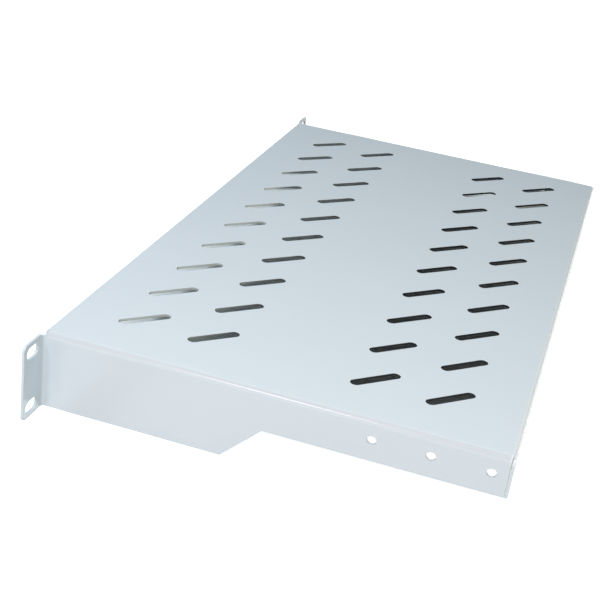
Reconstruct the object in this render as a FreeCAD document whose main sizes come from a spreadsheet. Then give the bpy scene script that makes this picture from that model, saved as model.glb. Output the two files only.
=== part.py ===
import FreeCAD, Part
import os
import math
import Sketcher

# Cantilever rack shelf, folded from one sheet.
# X runs across the shelf, Y from the front face back to the rear edge, and Z is up.
# The origin is the centre of the four ear slots, on the front face of the ears.

doc = FreeCAD.newDocument("cantilever_rack_shelf")

# Driving dimensions, in millimetres and degrees
dimensions = [
    ("overall_width", 482.6, "across the two ears"),
    ("ear_width", 20.3, "side face of the body to the outer edge of an ear"),
    ("shelf_depth", 250, "front face to rear face"),
    ("side_height", 44, "deck top to the bottom of the side flanges, at the front"),
    ("rear_height", 23, "deck top to the bottom of the rear lip and the flange tails"),
    ("front_lip_height", 20, "deck top to the bottom of the front lip"),
    ("front_lip_relief", 2, "flat of the deck to the end of the front lip, at each side"),
    ("sheet_thickness", 1.5, "the sheet"),
    ("bend_radius", 1.5, "inside every fold"),
    ("corner_gap", 0.3, "between the rear lip and what it closes at each corner"),
    ("step_start", 103, "front face to where the flange starts to rise"),
    ("step_angle", 45, "rise of the flange's lower edge"),
    ("rack_hole_spacing", 31.75, "between the ear slots, up"),
    ("ear_slot_end", 6.125, "slot centre to the top or bottom of the ear"),
    ("ear_slot_inset", 8.75, "slot centre to the outer edge of the ear"),
    ("ear_slot_length", 12, "end to end"),
    ("ear_slot_width", 7, "height"),
    ("ear_corner_radius", 3, "outer corners of an ear"),
    ("ear_notch_width", 2.7, "side face of the body to the upper part of the ear"),
    ("ear_notch_depth", 1.8, "deck top to the floor of the notch beside the ear"),
    ("vent_length", 30, "vent slot, end to end"),
    ("vent_width", 6, "vent slot"),
    ("vent_angle", 135, "of a vent slot to the X axis, seen from above"),
    ("vent_columns", 10, "vent slots in a row"),
    ("vent_side_margin", 41, "side faces of the body to the centres of the outer slots"),
    ("vent_margin", 40, "from the front and rear faces to the nearest row"),
    ("vent_row_pitch", 40, "between the two rows of a pair"),
    ("side_hole_diameter", 5, "holes in the flange tails"),
    ("side_hole_count", 3, "holes in a tail"),
    ("side_hole_pitch", 30, "between them"),
    ("side_hole_margin", 10, "rear face to the last hole"),
    ("side_hole_drop", 11.2, "deck top to the hole centres"),
]

sheet = doc.addObject("Spreadsheet::Sheet", "size")
for row, (name, number, meaning) in enumerate(dimensions, start=1):
    sheet.set(f"A{row}", name)
    sheet.set(f"B{row}", str(number))
    sheet.set(f"C{row}", meaning)
    sheet.setAlias(f"B{row}", name)
doc.recompute()

# Levels and faces that several features share. The ears reach as high as the deck.
deck_top = "(size.rack_hole_spacing / 2 + size.ear_slot_end)"
ear_bottom = f"-{deck_top}"
side_bottom = f"({deck_top} - size.side_height)"
tail_bottom = f"({deck_top} - size.rear_height)"
outer_radius = "(size.bend_radius + size.sheet_thickness)"
fold_bottom = f"({deck_top} - {outer_radius})"
body_side = "(size.overall_width / 2 - size.ear_width)"
flat_side = f"({body_side} - {outer_radius})"
front_lip_side = f"({flat_side} - size.front_lip_relief)"
flange_end = "(size.shelf_depth - size.sheet_thickness - size.corner_gap)"


def plane_sketch(body, role, name, offset=None):
    """A sketch on one of the body's own planes, moved along that plane's normal."""
    plane = next(item for item in body.Origin.OriginFeatures if item.Role == role)
    sketch = body.newObject("Sketcher::SketchObject", name)
    sketch.AttachmentSupport = [(plane, "")]
    sketch.MapMode = "FlatFace"
    if offset:
        sketch.setExpression("AttachmentOffset.Base.z", offset)
    return sketch


def tie(sketch, kind, target, expression):
    """Hold a point's X or Y, or an arc's radius, to an expression in the named sizes."""
    number = float(sketch.evalExpression(expression))
    if kind == "Radius":
        index = sketch.addConstraint(Sketcher.Constraint("Radius", target, number))
    else:
        index = sketch.addConstraint(Sketcher.Constraint(kind, -1, 1, *target, number))
    sketch.setExpression(f"Constraints[{index}]", expression)


def draw_outline(sketch, corners):
    """A closed outline through corners given as (x, y) or (x, y, radius) expressions."""
    points = []
    for corner in corners:
        x, y = (float(sketch.evalExpression(text)) for text in corner[:2])
        points.append(FreeCAD.Vector(x, y, 0))
    count = len(corners)
    lines = []
    for index in range(count):
        ends = []
        for this, other in ((index, (index + 1) % count), ((index + 1) % count, index)):
            radius = 0.0
            if len(corners[this]) == 3:
                radius = float(sketch.evalExpression(corners[this][2]))
            ends.append(points[this] + (points[other] - points[this]).normalize() * radius)
        lines.append(sketch.addGeometry(Part.LineSegment(*ends), False))
    for index in range(count):
        before, after = lines[index - 1], lines[index]
        if len(corners[index]) == 2:
            sketch.addConstraint(Sketcher.Constraint("Coincident", before, 2, after, 1))
        else:
            start = sketch.Geometry[before].EndPoint
            end = sketch.Geometry[after].StartPoint
            centre = start + end - points[index]
            angles = [math.atan2((p - centre).y, (p - centre).x) for p in (start, end)]
            turns_left = (angles[1] - angles[0]) % (2 * math.pi) < math.pi
            if not turns_left:
                angles.reverse()
            circle = Part.Circle(centre, FreeCAD.Vector(0, 0, 1), (start - centre).Length)
            arc = sketch.addGeometry(Part.ArcOfCircle(circle, angles[0], angles[1]), False)
            near, far = (1, 2) if turns_left else (2, 1)
            sketch.addConstraint(Sketcher.Constraint("Tangent", before, 2, arc, near))
            sketch.addConstraint(Sketcher.Constraint("Tangent", arc, far, after, 1))
            tie(sketch, "Radius", arc, corners[index][2])
    for index, line in enumerate(lines):
        start, end = corners[index], corners[(index + 1) % count]
        if start[0] == end[0]:
            sketch.addConstraint(Sketcher.Constraint("Vertical", line))
            tie(sketch, "DistanceX", (line, 1), start[0])
        elif start[1] == end[1]:
            sketch.addConstraint(Sketcher.Constraint("Horizontal", line))
            tie(sketch, "DistanceY", (line, 1), start[1])
        else:
            tie(sketch, "DistanceX", (line, 1), start[0])
            tie(sketch, "DistanceX", (line, 2), end[0])


def draw_slot(sketch, x, y, length, width, angle="0"):
    """A slot with round ends, centred on x, y and turned by an angle, all expressions."""
    half_run = f"({length} - {width}) / 2"
    turn = math.radians(float(sketch.evalExpression(angle)))
    along = FreeCAD.Vector(math.cos(turn), math.sin(turn), 0)
    side = FreeCAD.Vector(-along.y, along.x, 0)
    centre = FreeCAD.Vector(*(float(sketch.evalExpression(text)) for text in (x, y)), 0)
    reach = along * float(sketch.evalExpression(half_run))
    radius = float(sketch.evalExpression(f"{width} / 2"))
    ends = []
    for sign, start_angle in ((1, turn - math.pi / 2), (-1, turn + math.pi / 2)):
        circle = Part.Circle(centre + reach * sign, FreeCAD.Vector(0, 0, 1), radius)
        arc = Part.ArcOfCircle(circle, start_angle, start_angle + math.pi)
        ends.append(sketch.addGeometry(arc, False))
    edges = []
    for sign in (1, -1):
        start = centre + reach * sign + side * radius * sign
        end = centre - reach * sign + side * radius * sign
        edges.append(sketch.addGeometry(Part.LineSegment(start, end), False))
    for arc, line, other in ((ends[0], edges[0], ends[1]), (ends[1], edges[1], ends[0])):
        sketch.addConstraint(Sketcher.Constraint("Tangent", arc, 2, line, 1))
        sketch.addConstraint(Sketcher.Constraint("Tangent", line, 2, other, 1))
    sketch.addConstraint(Sketcher.Constraint("Equal", ends[0], ends[1]))
    tie(sketch, "Radius", ends[0], f"{width} / 2")
    for arc, sign in zip(ends, "+-"):
        tie(sketch, "DistanceX", (arc, 3), f"{x} {sign} {half_run} * cos({angle} * 1 deg)")
        tie(sketch, "DistanceY", (arc, 3), f"{y} {sign} {half_run} * sin({angle} * 1 deg)")


def draw_fold(sketch, x, y, start):
    """A quarter turn of the sheet about the centre x, y, from a start angle in degrees."""
    centre = FreeCAD.Vector(*(float(sketch.evalExpression(text)) for text in (x, y)), 0)
    arcs = []
    for size in ("size.bend_radius", outer_radius):
        circle = Part.Circle(centre, FreeCAD.Vector(0, 0, 1), float(sketch.evalExpression(size)))
        arc = Part.ArcOfCircle(circle, math.radians(start), math.radians(start + 90))
        arcs.append(sketch.addGeometry(arc, False))
        tie(sketch, "Radius", arcs[-1], size)
    inner, outer = arcs
    sketch.addConstraint(Sketcher.Constraint("Coincident", inner, 3, outer, 3))
    tie(sketch, "DistanceX", (inner, 3), x)
    tie(sketch, "DistanceY", (inner, 3), y)
    for end in (1, 2):
        ends = [sketch.getPoint(arc, end) for arc in arcs]
        line = sketch.addGeometry(Part.LineSegment(*ends), False)
        sketch.addConstraint(Sketcher.Constraint("Coincident", line, 1, inner, end))
        sketch.addConstraint(Sketcher.Constraint("Coincident", line, 2, outer, end))
        level = (start + 90 * (end - 1)) % 180 == 0
        sketch.addConstraint(Sketcher.Constraint("Horizontal" if level else "Vertical", line))
        if level:
            tie(sketch, "DistanceY", (inner, end), y)
        else:
            tie(sketch, "DistanceX", (inner, end), x)


def add_pad(sketch, name, length, symmetric=False, reverse=False):
    """Thicken a sketch into the body."""
    pad = body.newObject("PartDesign::Pad", name)
    pad.Profile = sketch
    pad.setExpression("Length", length)
    pad.SideType = "Symmetric" if symmetric else "One side"
    pad.Reversed = reverse
    doc.recompute()
    return pad


def add_cut(sketch, name, depth=None):
    """Cut a sketch down to a depth, or right through the body both ways."""
    volume = body.Shape.Volume
    pocket = body.newObject("PartDesign::Pocket", name)
    pocket.Profile = sketch
    if depth:
        pocket.setExpression("Length", depth)
    else:
        pocket.Type = "ThroughAll"
        pocket.SideType = "Symmetric"
    doc.recompute()
    if not body.Shape.Volume < volume:
        raise RuntimeError(f"{name} cuts nothing")
    return pocket


def repeat_along(feature, name, role, length, count, reverse=False):
    """Copies of a cut along one of the body's own axes."""
    axis = next(item for item in body.Origin.OriginFeatures if item.Role == role)
    pattern = body.newObject("PartDesign::LinearPattern", name)
    pattern.Originals = [feature]
    pattern.Direction = (axis, [""])
    pattern.Reversed = reverse
    pattern.Mode = "Extent"
    pattern.setExpression("Length", length)
    pattern.setExpression("Occurrences", count)
    body.Tip = pattern
    doc.recompute()
    return pattern


body = doc.addObject("PartDesign::Body", "shelf")
body.Label = "shelf"
body.Placement = FreeCAD.Placement()

# Deck, flat between its four folds
deck = plane_sketch(body, "XY_Plane", "deck_outline", deck_top)
draw_outline(deck, [
    (f"-{flat_side}", outer_radius),
    (flat_side, outer_radius),
    (flat_side, f"size.shelf_depth - {outer_radius}"),
    (f"-{flat_side}", f"size.shelf_depth - {outer_radius}"),
])
add_pad(deck, "deck", "size.sheet_thickness", reverse=True)

# Front lip and its fold, which stop short of the sides to clear the folds of the ears
fold = plane_sketch(body, "YZ_Plane", "front_fold_section")
draw_fold(fold, outer_radius, fold_bottom, 90)
add_pad(fold, "front_fold", f"2 * {front_lip_side}", symmetric=True)
lip = plane_sketch(body, "XZ_Plane", "front_lip_outline")
draw_outline(lip, [
    (f"-{front_lip_side}", f"{deck_top} - size.front_lip_height"),
    (front_lip_side, f"{deck_top} - size.front_lip_height"),
    (front_lip_side, fold_bottom),
    (f"-{front_lip_side}", fold_bottom),
])
add_pad(lip, "front_lip", "size.sheet_thickness", reverse=True)

# Rear fold, and the rear lip that closes over the ends of the side flanges
fold = plane_sketch(body, "YZ_Plane", "rear_fold_section")
draw_fold(fold, f"size.shelf_depth - {outer_radius}", fold_bottom, 0)
add_pad(fold, "rear_fold", f"2 * ({flat_side} - size.corner_gap)", symmetric=True)
lip = plane_sketch(body, "XZ_Plane", "rear_lip_outline", "-size.shelf_depth")
draw_outline(lip, [
    (f"-{body_side}", tail_bottom),
    (body_side, tail_bottom),
    (body_side, fold_bottom),
    (f"-{body_side}", fold_bottom),
])
add_pad(lip, "rear_lip", "size.sheet_thickness")

# Right fold and flange, with the step in the flange's lower edge
fold = plane_sketch(body, "XZ_Plane", "right_fold_section", f"-{outer_radius}")
draw_fold(fold, flat_side, fold_bottom, 0)
right_fold = add_pad(fold, "right_fold", f"{flange_end} - {outer_radius}", reverse=True)
step_run = "(size.side_height - size.rear_height) / tan(size.step_angle * 1 deg)"
flange = plane_sketch(body, "YZ_Plane", "right_flange_outline", body_side)
draw_outline(flange, [
    (outer_radius, side_bottom),
    ("size.step_start", side_bottom),
    (f"size.step_start + {step_run}", tail_bottom),
    (flange_end, tail_bottom),
    (flange_end, fold_bottom),
    (outer_radius, fold_bottom),
])
right_flange = add_pad(flange, "right_flange", "size.sheet_thickness", reverse=True)

# Fold from the right flange out into its ear. The notch above it parts the ear from the deck.
ear_side = f"({body_side} + size.bend_radius)"
notch_floor = f"({deck_top} - size.ear_notch_depth)"
shared_bottom = f"({deck_top} - min(size.side_height; 2 * {deck_top}))"
fold = plane_sketch(body, "XY_Plane", "right_ear_fold_section", shared_bottom)
draw_fold(fold, ear_side, outer_radius, 180)
right_ear_fold = add_pad(fold, "right_ear_fold", f"{notch_floor} - {shared_bottom}")

# Right ear with its two slots, seen from the front
ear = plane_sketch(body, "XZ_Plane", "right_ear_outline")
draw_outline(ear, [
    (ear_side, ear_bottom),
    ("size.overall_width / 2", ear_bottom, "size.ear_corner_radius"),
    ("size.overall_width / 2", deck_top, "size.ear_corner_radius"),
    (f"{body_side} + size.ear_notch_width", deck_top),
    (f"{body_side} + size.ear_notch_width", notch_floor),
    (ear_side, notch_floor),
])
slot_x = "(size.overall_width / 2 - size.ear_slot_inset)"
for slot_z in ("size.rack_hole_spacing / 2", "-size.rack_hole_spacing / 2"):
    draw_slot(ear, slot_x, slot_z, "size.ear_slot_length", "size.ear_slot_width")
right_ear = add_pad(ear, "right_ear", "size.sheet_thickness", reverse=True)

# The left fold, flange and ear are the right ones mirrored
left = body.newObject("PartDesign::Mirrored", "left_side")
left.Originals = [right_fold, right_flange, right_ear_fold, right_ear]
left.MirrorPlane = (next(p for p in body.Origin.OriginFeatures if p.Role == "YZ_Plane"), [""])
body.Tip = left
doc.recompute()

# Holes through both flange tails, counted from the rear
hole = plane_sketch(body, "YZ_Plane", "side_hole")
hole.addGeometry(Part.Circle(), False)
tie(hole, "DistanceX", (0, 3), "size.shelf_depth - size.side_hole_margin")
tie(hole, "DistanceY", (0, 3), f"{deck_top} - size.side_hole_drop")
tie(hole, "Radius", 0, "size.side_hole_diameter / 2")
side_hole = add_cut(hole, "last_side_hole")
hole_run = "(size.side_hole_count - 1) * size.side_hole_pitch"
repeat_along(side_hole, "side_holes", "Y_Axis", hole_run, "size.side_hole_count", reverse=True)

# Slanted vent slots: one column of four, repeated across the deck
vents = plane_sketch(body, "XY_Plane", "vent_column", deck_top)
vent_side = f"({body_side} - size.vent_side_margin)"
vent_rows = (
    "size.vent_margin",
    "size.vent_margin + size.vent_row_pitch",
    "size.shelf_depth - size.vent_margin - size.vent_row_pitch",
    "size.shelf_depth - size.vent_margin",
)
for depth in vent_rows:
    draw_slot(vents, f"-{vent_side}", depth, "size.vent_length", "size.vent_width", "size.vent_angle")
vent_column = add_cut(vents, "first_vent_column", "size.sheet_thickness")
repeat_along(vent_column, "vent_columns", "X_Axis", f"2 * {vent_side}", "size.vent_columns")

# Nothing is written unless every feature built and the shelf is one sound solid
for item in doc.Objects:
    if "Invalid" in item.State or "Error" in item.State:
        raise RuntimeError(f"{item.Name} did not build: {item.State}")
if body.Shape.isNull() or not body.Shape.isValid() or len(body.Shape.Solids) != 1:
    raise RuntimeError("the shelf is not one sound solid")
box = body.Shape.BoundBox
print(f"shelf {box.XLength:.2f} x {box.YLength:.2f} x {box.ZLength:.2f} mm")
print(f"volume {body.Shape.Volume:.0f} mm3, centre of mass {body.Shape.Solids[0].CenterOfMass}")

os.makedirs("parts", exist_ok=True)
body.Shape.exportStep(f"parts/{body.Label}.step")
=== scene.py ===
import math

import bmesh
import bpy
from mathutils import Matrix, Vector


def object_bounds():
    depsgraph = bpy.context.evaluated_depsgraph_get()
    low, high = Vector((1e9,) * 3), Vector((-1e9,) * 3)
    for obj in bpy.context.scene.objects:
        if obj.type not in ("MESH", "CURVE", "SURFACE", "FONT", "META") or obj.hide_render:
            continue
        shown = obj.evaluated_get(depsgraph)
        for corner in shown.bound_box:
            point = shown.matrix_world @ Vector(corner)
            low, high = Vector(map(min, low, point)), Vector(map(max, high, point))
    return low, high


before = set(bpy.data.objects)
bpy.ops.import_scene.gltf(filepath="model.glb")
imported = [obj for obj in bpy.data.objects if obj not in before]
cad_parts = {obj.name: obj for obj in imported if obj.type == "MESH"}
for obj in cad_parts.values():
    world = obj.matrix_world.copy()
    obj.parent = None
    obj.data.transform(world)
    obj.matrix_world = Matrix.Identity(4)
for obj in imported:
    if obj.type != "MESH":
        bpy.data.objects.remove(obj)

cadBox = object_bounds()
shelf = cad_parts["shelf"]
print("frame loaded")


class Shade:
    # one output socket of a material, so that sums and products read as plain Python
    def __init__(self, tree, socket=None):
        self.tree, self.socket = tree, socket

    def node(self, kind, settings=None, inputs=None, output=0):
        made = self.tree.nodes.new(kind)
        for name, value in (settings or {}).items():
            setattr(made, name, value)
        for name, value in (inputs or {}).items():
            if isinstance(value, Shade):
                self.tree.links.new(value.socket, made.inputs[name])
            else:
                made.inputs[name].default_value = value
        return Shade(self.tree, made.outputs[output] if made.outputs else None)

    def math(self, operation, first, second=0.0):
        return self.node("ShaderNodeMath", {"operation": operation}, {0: first, 1: second})

    def __add__(self, other): return self.math("ADD", self, other)
    def __radd__(self, other): return self.math("ADD", other, self)
    def __sub__(self, other): return self.math("SUBTRACT", self, other)
    def __rsub__(self, other): return self.math("SUBTRACT", other, self)
    def __mul__(self, other): return self.math("MULTIPLY", self, other)
    def __rmul__(self, other): return self.math("MULTIPLY", other, self)
    def __abs__(self): return self.math("ABSOLUTE", self)
    def atLeast(self, other): return self.math("MAXIMUM", self, other)
    def atMost(self, other): return self.math("MINIMUM", self, other)
    def clip(self): return self.atLeast(0.0).atMost(1.0)

    def ramp(self, start, end):
        # 0 before start, 1 past end, and even between them
        return ((self - start) * (1 / (end - start))).clip()

    def axes(self, place):
        outputs = self.node("ShaderNodeSeparateXYZ", None, {"Vector": place}).socket.node.outputs
        return [Shade(self.tree, outputs[axis]) for axis in range(3)]


def newMaterial(name):
    material = bpy.data.materials.new(name)
    material.use_nodes = True
    material.node_tree.nodes.clear()
    return material, Shade(material.node_tree)


def srgb(red, green, blue):
    # a colour as a picture shows it, 0 to 255, turned into the linear one that the shader takes
    levels = [value / 255 for value in (red, green, blue)]
    return [v / 12.92 if v <= 0.04045 else ((v + 0.055) / 1.055) ** 2.4 for v in levels] + [1]


sharp = 100000          # per metre, for a mask that ends at a line
soft = 1000             # per metre, for one that fades over a millimetre
lightSlant = 0.195      # the light under the front lip narrows to the left by this much

powderCoat = {
    "colour": srgb(212, 225, 233),
    "shadeColour": srgb(209, 222, 230),
    "cloudSize": 0.06,          # metres across a patch of slightly different colour
    "roughness": 0.22,
    "roughnessSpread": 0.04,
    "peelSize": 0.0011,         # orange peel of the cured powder
    "peelDepth": 0.000010,
    "peelRoughness": 0.05,
    "grainSize": 0.00035,
    "grainDepth": 0.0000025,
    "edgeRadius": 0.0003,       # paint rounds the cut edges of the sheet
    "ior": 1.5,
    "bevelSamples": 4,
    "wallMiddle": 0.02121,      # height of the cut walls of the vents
    "wallHalf": 0.00069,
    "deckMiddle": 0.125,        # the walls lie within this part of the deck, half across and half deep
    "deckHalf": (0.213, 0.120),
    "wallRoughness": 0.5,       # added to the coat's
    "wallPaintedLightFront": srgb(198, 209, 206),         # painted light on the cut walls of the vents, front row, where the floor under the front lip is lit
    "wallPaintedShadeRear": srgb(20, 24, 23),             # painted shade on the same walls, from the third row on, under the shelf
    "wallShadeFade": (0.036, 0.096),
    "slantShadeFade": (0.044, 0.056),              # painted shade: the front row's walls are darker to the left, past the light under the front lip
    "slantShadeDepth": 0.75,
    "foldPaintedShade": srgb(194, 203, 210),        # painted shade along the side folds, darker than the coat
    "foldSide": (0.2182, 0.2195),
    "foldEnd": 0.2212,
    "foldHeight": (0.0195, 0.0208),
    "rearFoldPaintedLight": srgb(238, 246, 250),    # painted light along the rear fold, paler than the coat
    "rearFoldStart": (0.2472, 0.2484),
    "rearFoldHeight": (0.0170, 0.0185),
}


def makePowderCoat():
    look = powderCoat
    material, shade = newMaterial("powder coat")
    place = shade.node("ShaderNodeTexCoord", output=3)

    def noise(size, detail):
        return shade.node("ShaderNodeTexNoise", {"noise_dimensions": "3D"},
                          {"Vector": place, "Scale": 1 / size, "Detail": detail})

    def mix(factor, first, second):
        return shade.node("ShaderNodeMix", {"data_type": "RGBA"},
                          {"Factor": factor, "A": first, "B": second}, output=2)

    clouds = noise(look["cloudSize"], detail=3.0)
    across, back, up = shade.axes(place)
    onWall = (look["wallHalf"] - abs(up - look["wallMiddle"])) * sharp
    inWidth = (look["deckHalf"][0] - abs(across)) * soft
    inDepth = (look["deckHalf"][1] - abs(back - look["deckMiddle"])) * soft
    wall = onWall.atMost(inWidth).atMost(inDepth).clip()
    # the cut walls of the vents get painted light in the front row, and painted shade from the third row on
    # and to the left
    slanted = (back - across * lightSlant).ramp(*look["slantShadeFade"]) * look["slantShadeDepth"]
    paintedWallShade = back.ramp(*look["wallShadeFade"]).atLeast(slanted)
    wallPaintedLightAndShade = mix(paintedWallShade, look["wallPaintedLightFront"], look["wallPaintedShadeRear"])
    side = abs(across).ramp(*look["foldSide"]).atMost((look["foldEnd"] - abs(across)) * sharp)
    fold = side.atMost(up.ramp(*look["foldHeight"])).clip()
    rearFold = back.ramp(*look["rearFoldStart"]).atMost(up.ramp(*look["rearFoldHeight"]))
    # painted shade along the side folds
    coat = mix(fold, mix(clouds, look["shadeColour"], look["colour"]), look["foldPaintedShade"])
    # painted light along the rear fold
    coat = mix(rearFold, coat, look["rearFoldPaintedLight"])
    colour = mix(wall, coat, wallPaintedLightAndShade)
    peel = noise(look["peelSize"], detail=1.0)
    grain = noise(look["grainSize"], detail=0.0)
    spread = (clouds - 0.5) * look["roughnessSpread"] + (peel - 0.5) * look["peelRoughness"]
    rough = look["roughness"] + spread + wall * look["wallRoughness"]
    rounded = shade.node("ShaderNodeBevel", {"samples": look["bevelSamples"]}, {"Radius": look["edgeRadius"]})
    fine = shade.node("ShaderNodeBump", None,
                      {"Height": grain, "Distance": look["grainDepth"], "Normal": rounded})
    normal = shade.node("ShaderNodeBump", None,
                        {"Height": peel, "Distance": look["peelDepth"], "Normal": fine})
    paint = shade.node("ShaderNodeBsdfPrincipled", None,
                       {"Base Color": colour, "Roughness": rough, "Normal": normal, "IOR": look["ior"]})
    shade.node("ShaderNodeOutputMaterial", None, {"Surface": paint})
    return material


shelf.material_slots[0].material = makePowderCoat()
print("powder coat made")


studio = {
    "paperColour": srgb(240, 250, 246),       # the floor as the camera sees it
    "underColour": srgb(140, 142, 140),       # the same, in the shelf's own shade
    "bounceColour": srgb(184, 184, 184),      # the floor as it lights the shelf from below
    "paperRoughness": 0.9,
    "whiteStrength": 0.92,                    # lifts the open floor to plain white
    "shadeLeft": (-0.250, -0.272),            # where the shelf's own shade fades out, in metres
    "shadeLeftRear": (0.204, 0.165),          # the left one only as far back as this
    "shadeRight": (0.130, 0.150),
    "shadeFront": (0.110, 0.045),
    "shadeRear": (0.228, 0.244),
    "lipShadeFront": (0.011, 0.017),          # shade of the front lip, darkest just behind it
    "lipShadeRear": (0.045, 0.032),
    "lipShadeDepth": 0.75,
    "openLeft": (-0.353, -0.360),             # where the open floor starts
    "openTail": (0.158, 0.165),               # under the near tail, which its holes show
    "openTailRear": (0.2465, 0.2440),
    "gapStrength": 0.3,                       # what the gap of the near rear corner shows
    "openRight": (0.1865, 0.1885),
    "openFront": (-0.0345, -0.0385),
    "openRear": (0.2485, 0.2493),
    "stripFront": (0.014, 0.010),             # light that falls under the front lip
    "stripSlant": (0.046, 0.036),
    "stripStrength": 0.18,                    # as a share of the white
    "floorSize": 80.0,
    "worldColour": (0.846, 0.94, 1.0, 1.0),
    "worldStrength": 0.235,
}


def makeFloor():
    mesh = bpy.data.meshes.new("floor")
    shape = bmesh.new()
    bmesh.ops.create_grid(shape, x_segments=1, y_segments=1, size=studio["floorSize"] / 2)
    bmesh.ops.translate(shape, vec=(0, 0, cadBox[0].z), verts=shape.verts)
    shape.to_mesh(mesh)
    shape.free()
    floor = bpy.data.objects.new("floor", mesh)
    bpy.context.scene.collection.objects.link(floor)
    mesh.materials.append(makePaper())


def makePaper():
    material, shade = newMaterial("studio paper")

    def matt(colour):
        return shade.node("ShaderNodeBsdfPrincipled", None,
                          {"Base Color": colour, "Roughness": studio["paperRoughness"]})

    def past(axis, zone):
        return axis.ramp(*studio[zone])

    across, back, up = shade.axes(shade.node("ShaderNodeTexCoord", output=3))
    lipShade = past(back, "lipShadeFront").atMost(past(back, "lipShadeRear"))
    clear = past(across, "shadeLeft").atMost(past(back, "shadeLeftRear"))
    clear = clear.atLeast(past(across, "shadeRight"))
    clear = clear.atLeast(past(back, "shadeFront")).atLeast(past(back, "shadeRear"))
    clear = clear * (1.0 - lipShade * studio["lipShadeDepth"])
    paper = shade.node("ShaderNodeMix", {"data_type": "RGBA"},
                       {"Factor": clear, "A": studio["underColour"], "B": studio["paperColour"]},
                       output=2)
    plain = matt(paper)
    glow = shade.node("ShaderNodeEmission", None, {"Strength": studio["whiteStrength"]})
    lifted = shade.node("ShaderNodeAddShader", None, {0: plain, 1: glow})
    slanted = past(back - across * lightSlant, "stripSlant")
    strip = past(back, "stripFront").atMost(slanted) * studio["stripStrength"]
    besideGap = past(back, "openTailRear").atLeast(studio["gapStrength"])
    bright = past(across, "openTail").atMost(besideGap).atLeast(strip)
    for axis, zone in ((across, "openLeft"), (across, "openRight"), (back, "openFront"), (back, "openRear")):
        bright = bright.atLeast(past(axis, zone))
    seen = shade.node("ShaderNodeMixShader", None, {0: bright, 1: plain, 2: lifted})
    rays = shade.node("ShaderNodeLightPath").socket.node.outputs
    direct = Shade(shade.tree, rays["Is Camera Ray"])
    mirrored = Shade(shade.tree, rays["Is Glossy Ray"])
    passed = Shade(shade.tree, rays["Is Transmission Ray"])
    bounce = matt(studio["bounceColour"])
    mixed = shade.node("ShaderNodeMixShader", None,
                       {0: direct.atLeast(mirrored).atLeast(passed), 1: bounce, 2: seen})
    shade.node("ShaderNodeOutputMaterial", None, {"Surface": mixed})
    return material


makeFloor()
print("floor laid")

world = bpy.data.worlds.new("studio air")
world.use_nodes = True
bpy.context.scene.world = world
world.node_tree.nodes["Background"].inputs["Color"].default_value = studio["worldColour"]
world.node_tree.nodes["Background"].inputs["Strength"].default_value = studio["worldStrength"]


lamps = {
    # name: place, point aimed at, width, height, watts, colour
    "rightHigh": ((0.9, 0.3, 1.1), (0.1, 0.12, 0), 0.6, 0.6, 12.7, (1.0, 0.91, 0.83)),
    "rightKey": ((1.0, -0.09, 0.61), (0.2, 0.12, 0), 0.20, 0.09, 2.7, (1.0, 0.91, 0.98)),
    "front": ((0.1, -1.0, 0.9), (0, 0.1, 0), 0.5, 0.5, 6.9, (0.83, 0.91, 1.0)),
    "back": ((0.1, 1.4, 0.8), (0, 0.1, 0), 0.8, 0.5, 1.7, (1.0, 1.0, 0.80)),
}


def addLamp(name, place, aim, width, height, watts, colour):
    light = bpy.data.lights.new(name, "AREA")
    light.shape, light.size, light.size_y, light.energy = "RECTANGLE", width, height, watts
    light.color = colour
    lamp = bpy.data.objects.new(name, light)
    lamp.location = place
    lamp.rotation_euler = (Vector(aim) - Vector(place)).to_track_quat("-Z", "Y").to_euler()
    lamp.visible_glossy = name == "rightKey"      # the broad lamps only fill
    bpy.context.scene.collection.objects.link(lamp)


for name, facts in lamps.items():
    addLamp(name, *facts)
print("studio lit")


view = {
    "eye": (0.7175, 0.2600, 0.3172),          # metres, in the shelf's own frame
    "direction": (-0.87651, -0.21657, -0.42991),
    "roll": 7.98,                             # degrees
    "lens": 70.39,                            # millimetres
    "filmWidth": 36.0,
    "nearest": 0.01,                          # metres
    "farthest": 50.0,
}


def addCamera():
    data = bpy.data.cameras.new("camera")
    data.lens, data.sensor_width = view["lens"], view["filmWidth"]
    data.clip_start, data.clip_end = view["nearest"], view["farthest"]
    camera = bpy.data.objects.new("camera", data)
    camera.location = view["eye"]
    turn = Vector(view["direction"]).to_track_quat("-Z", "Y").to_matrix()
    camera.rotation_euler = (turn @ Matrix.Rotation(math.radians(view["roll"]), 3, "Z")).to_euler()
    bpy.context.scene.collection.objects.link(camera)
    bpy.context.scene.camera = camera


addCamera()
bpy.context.scene.view_settings.view_transform = "Standard"
print("camera set")
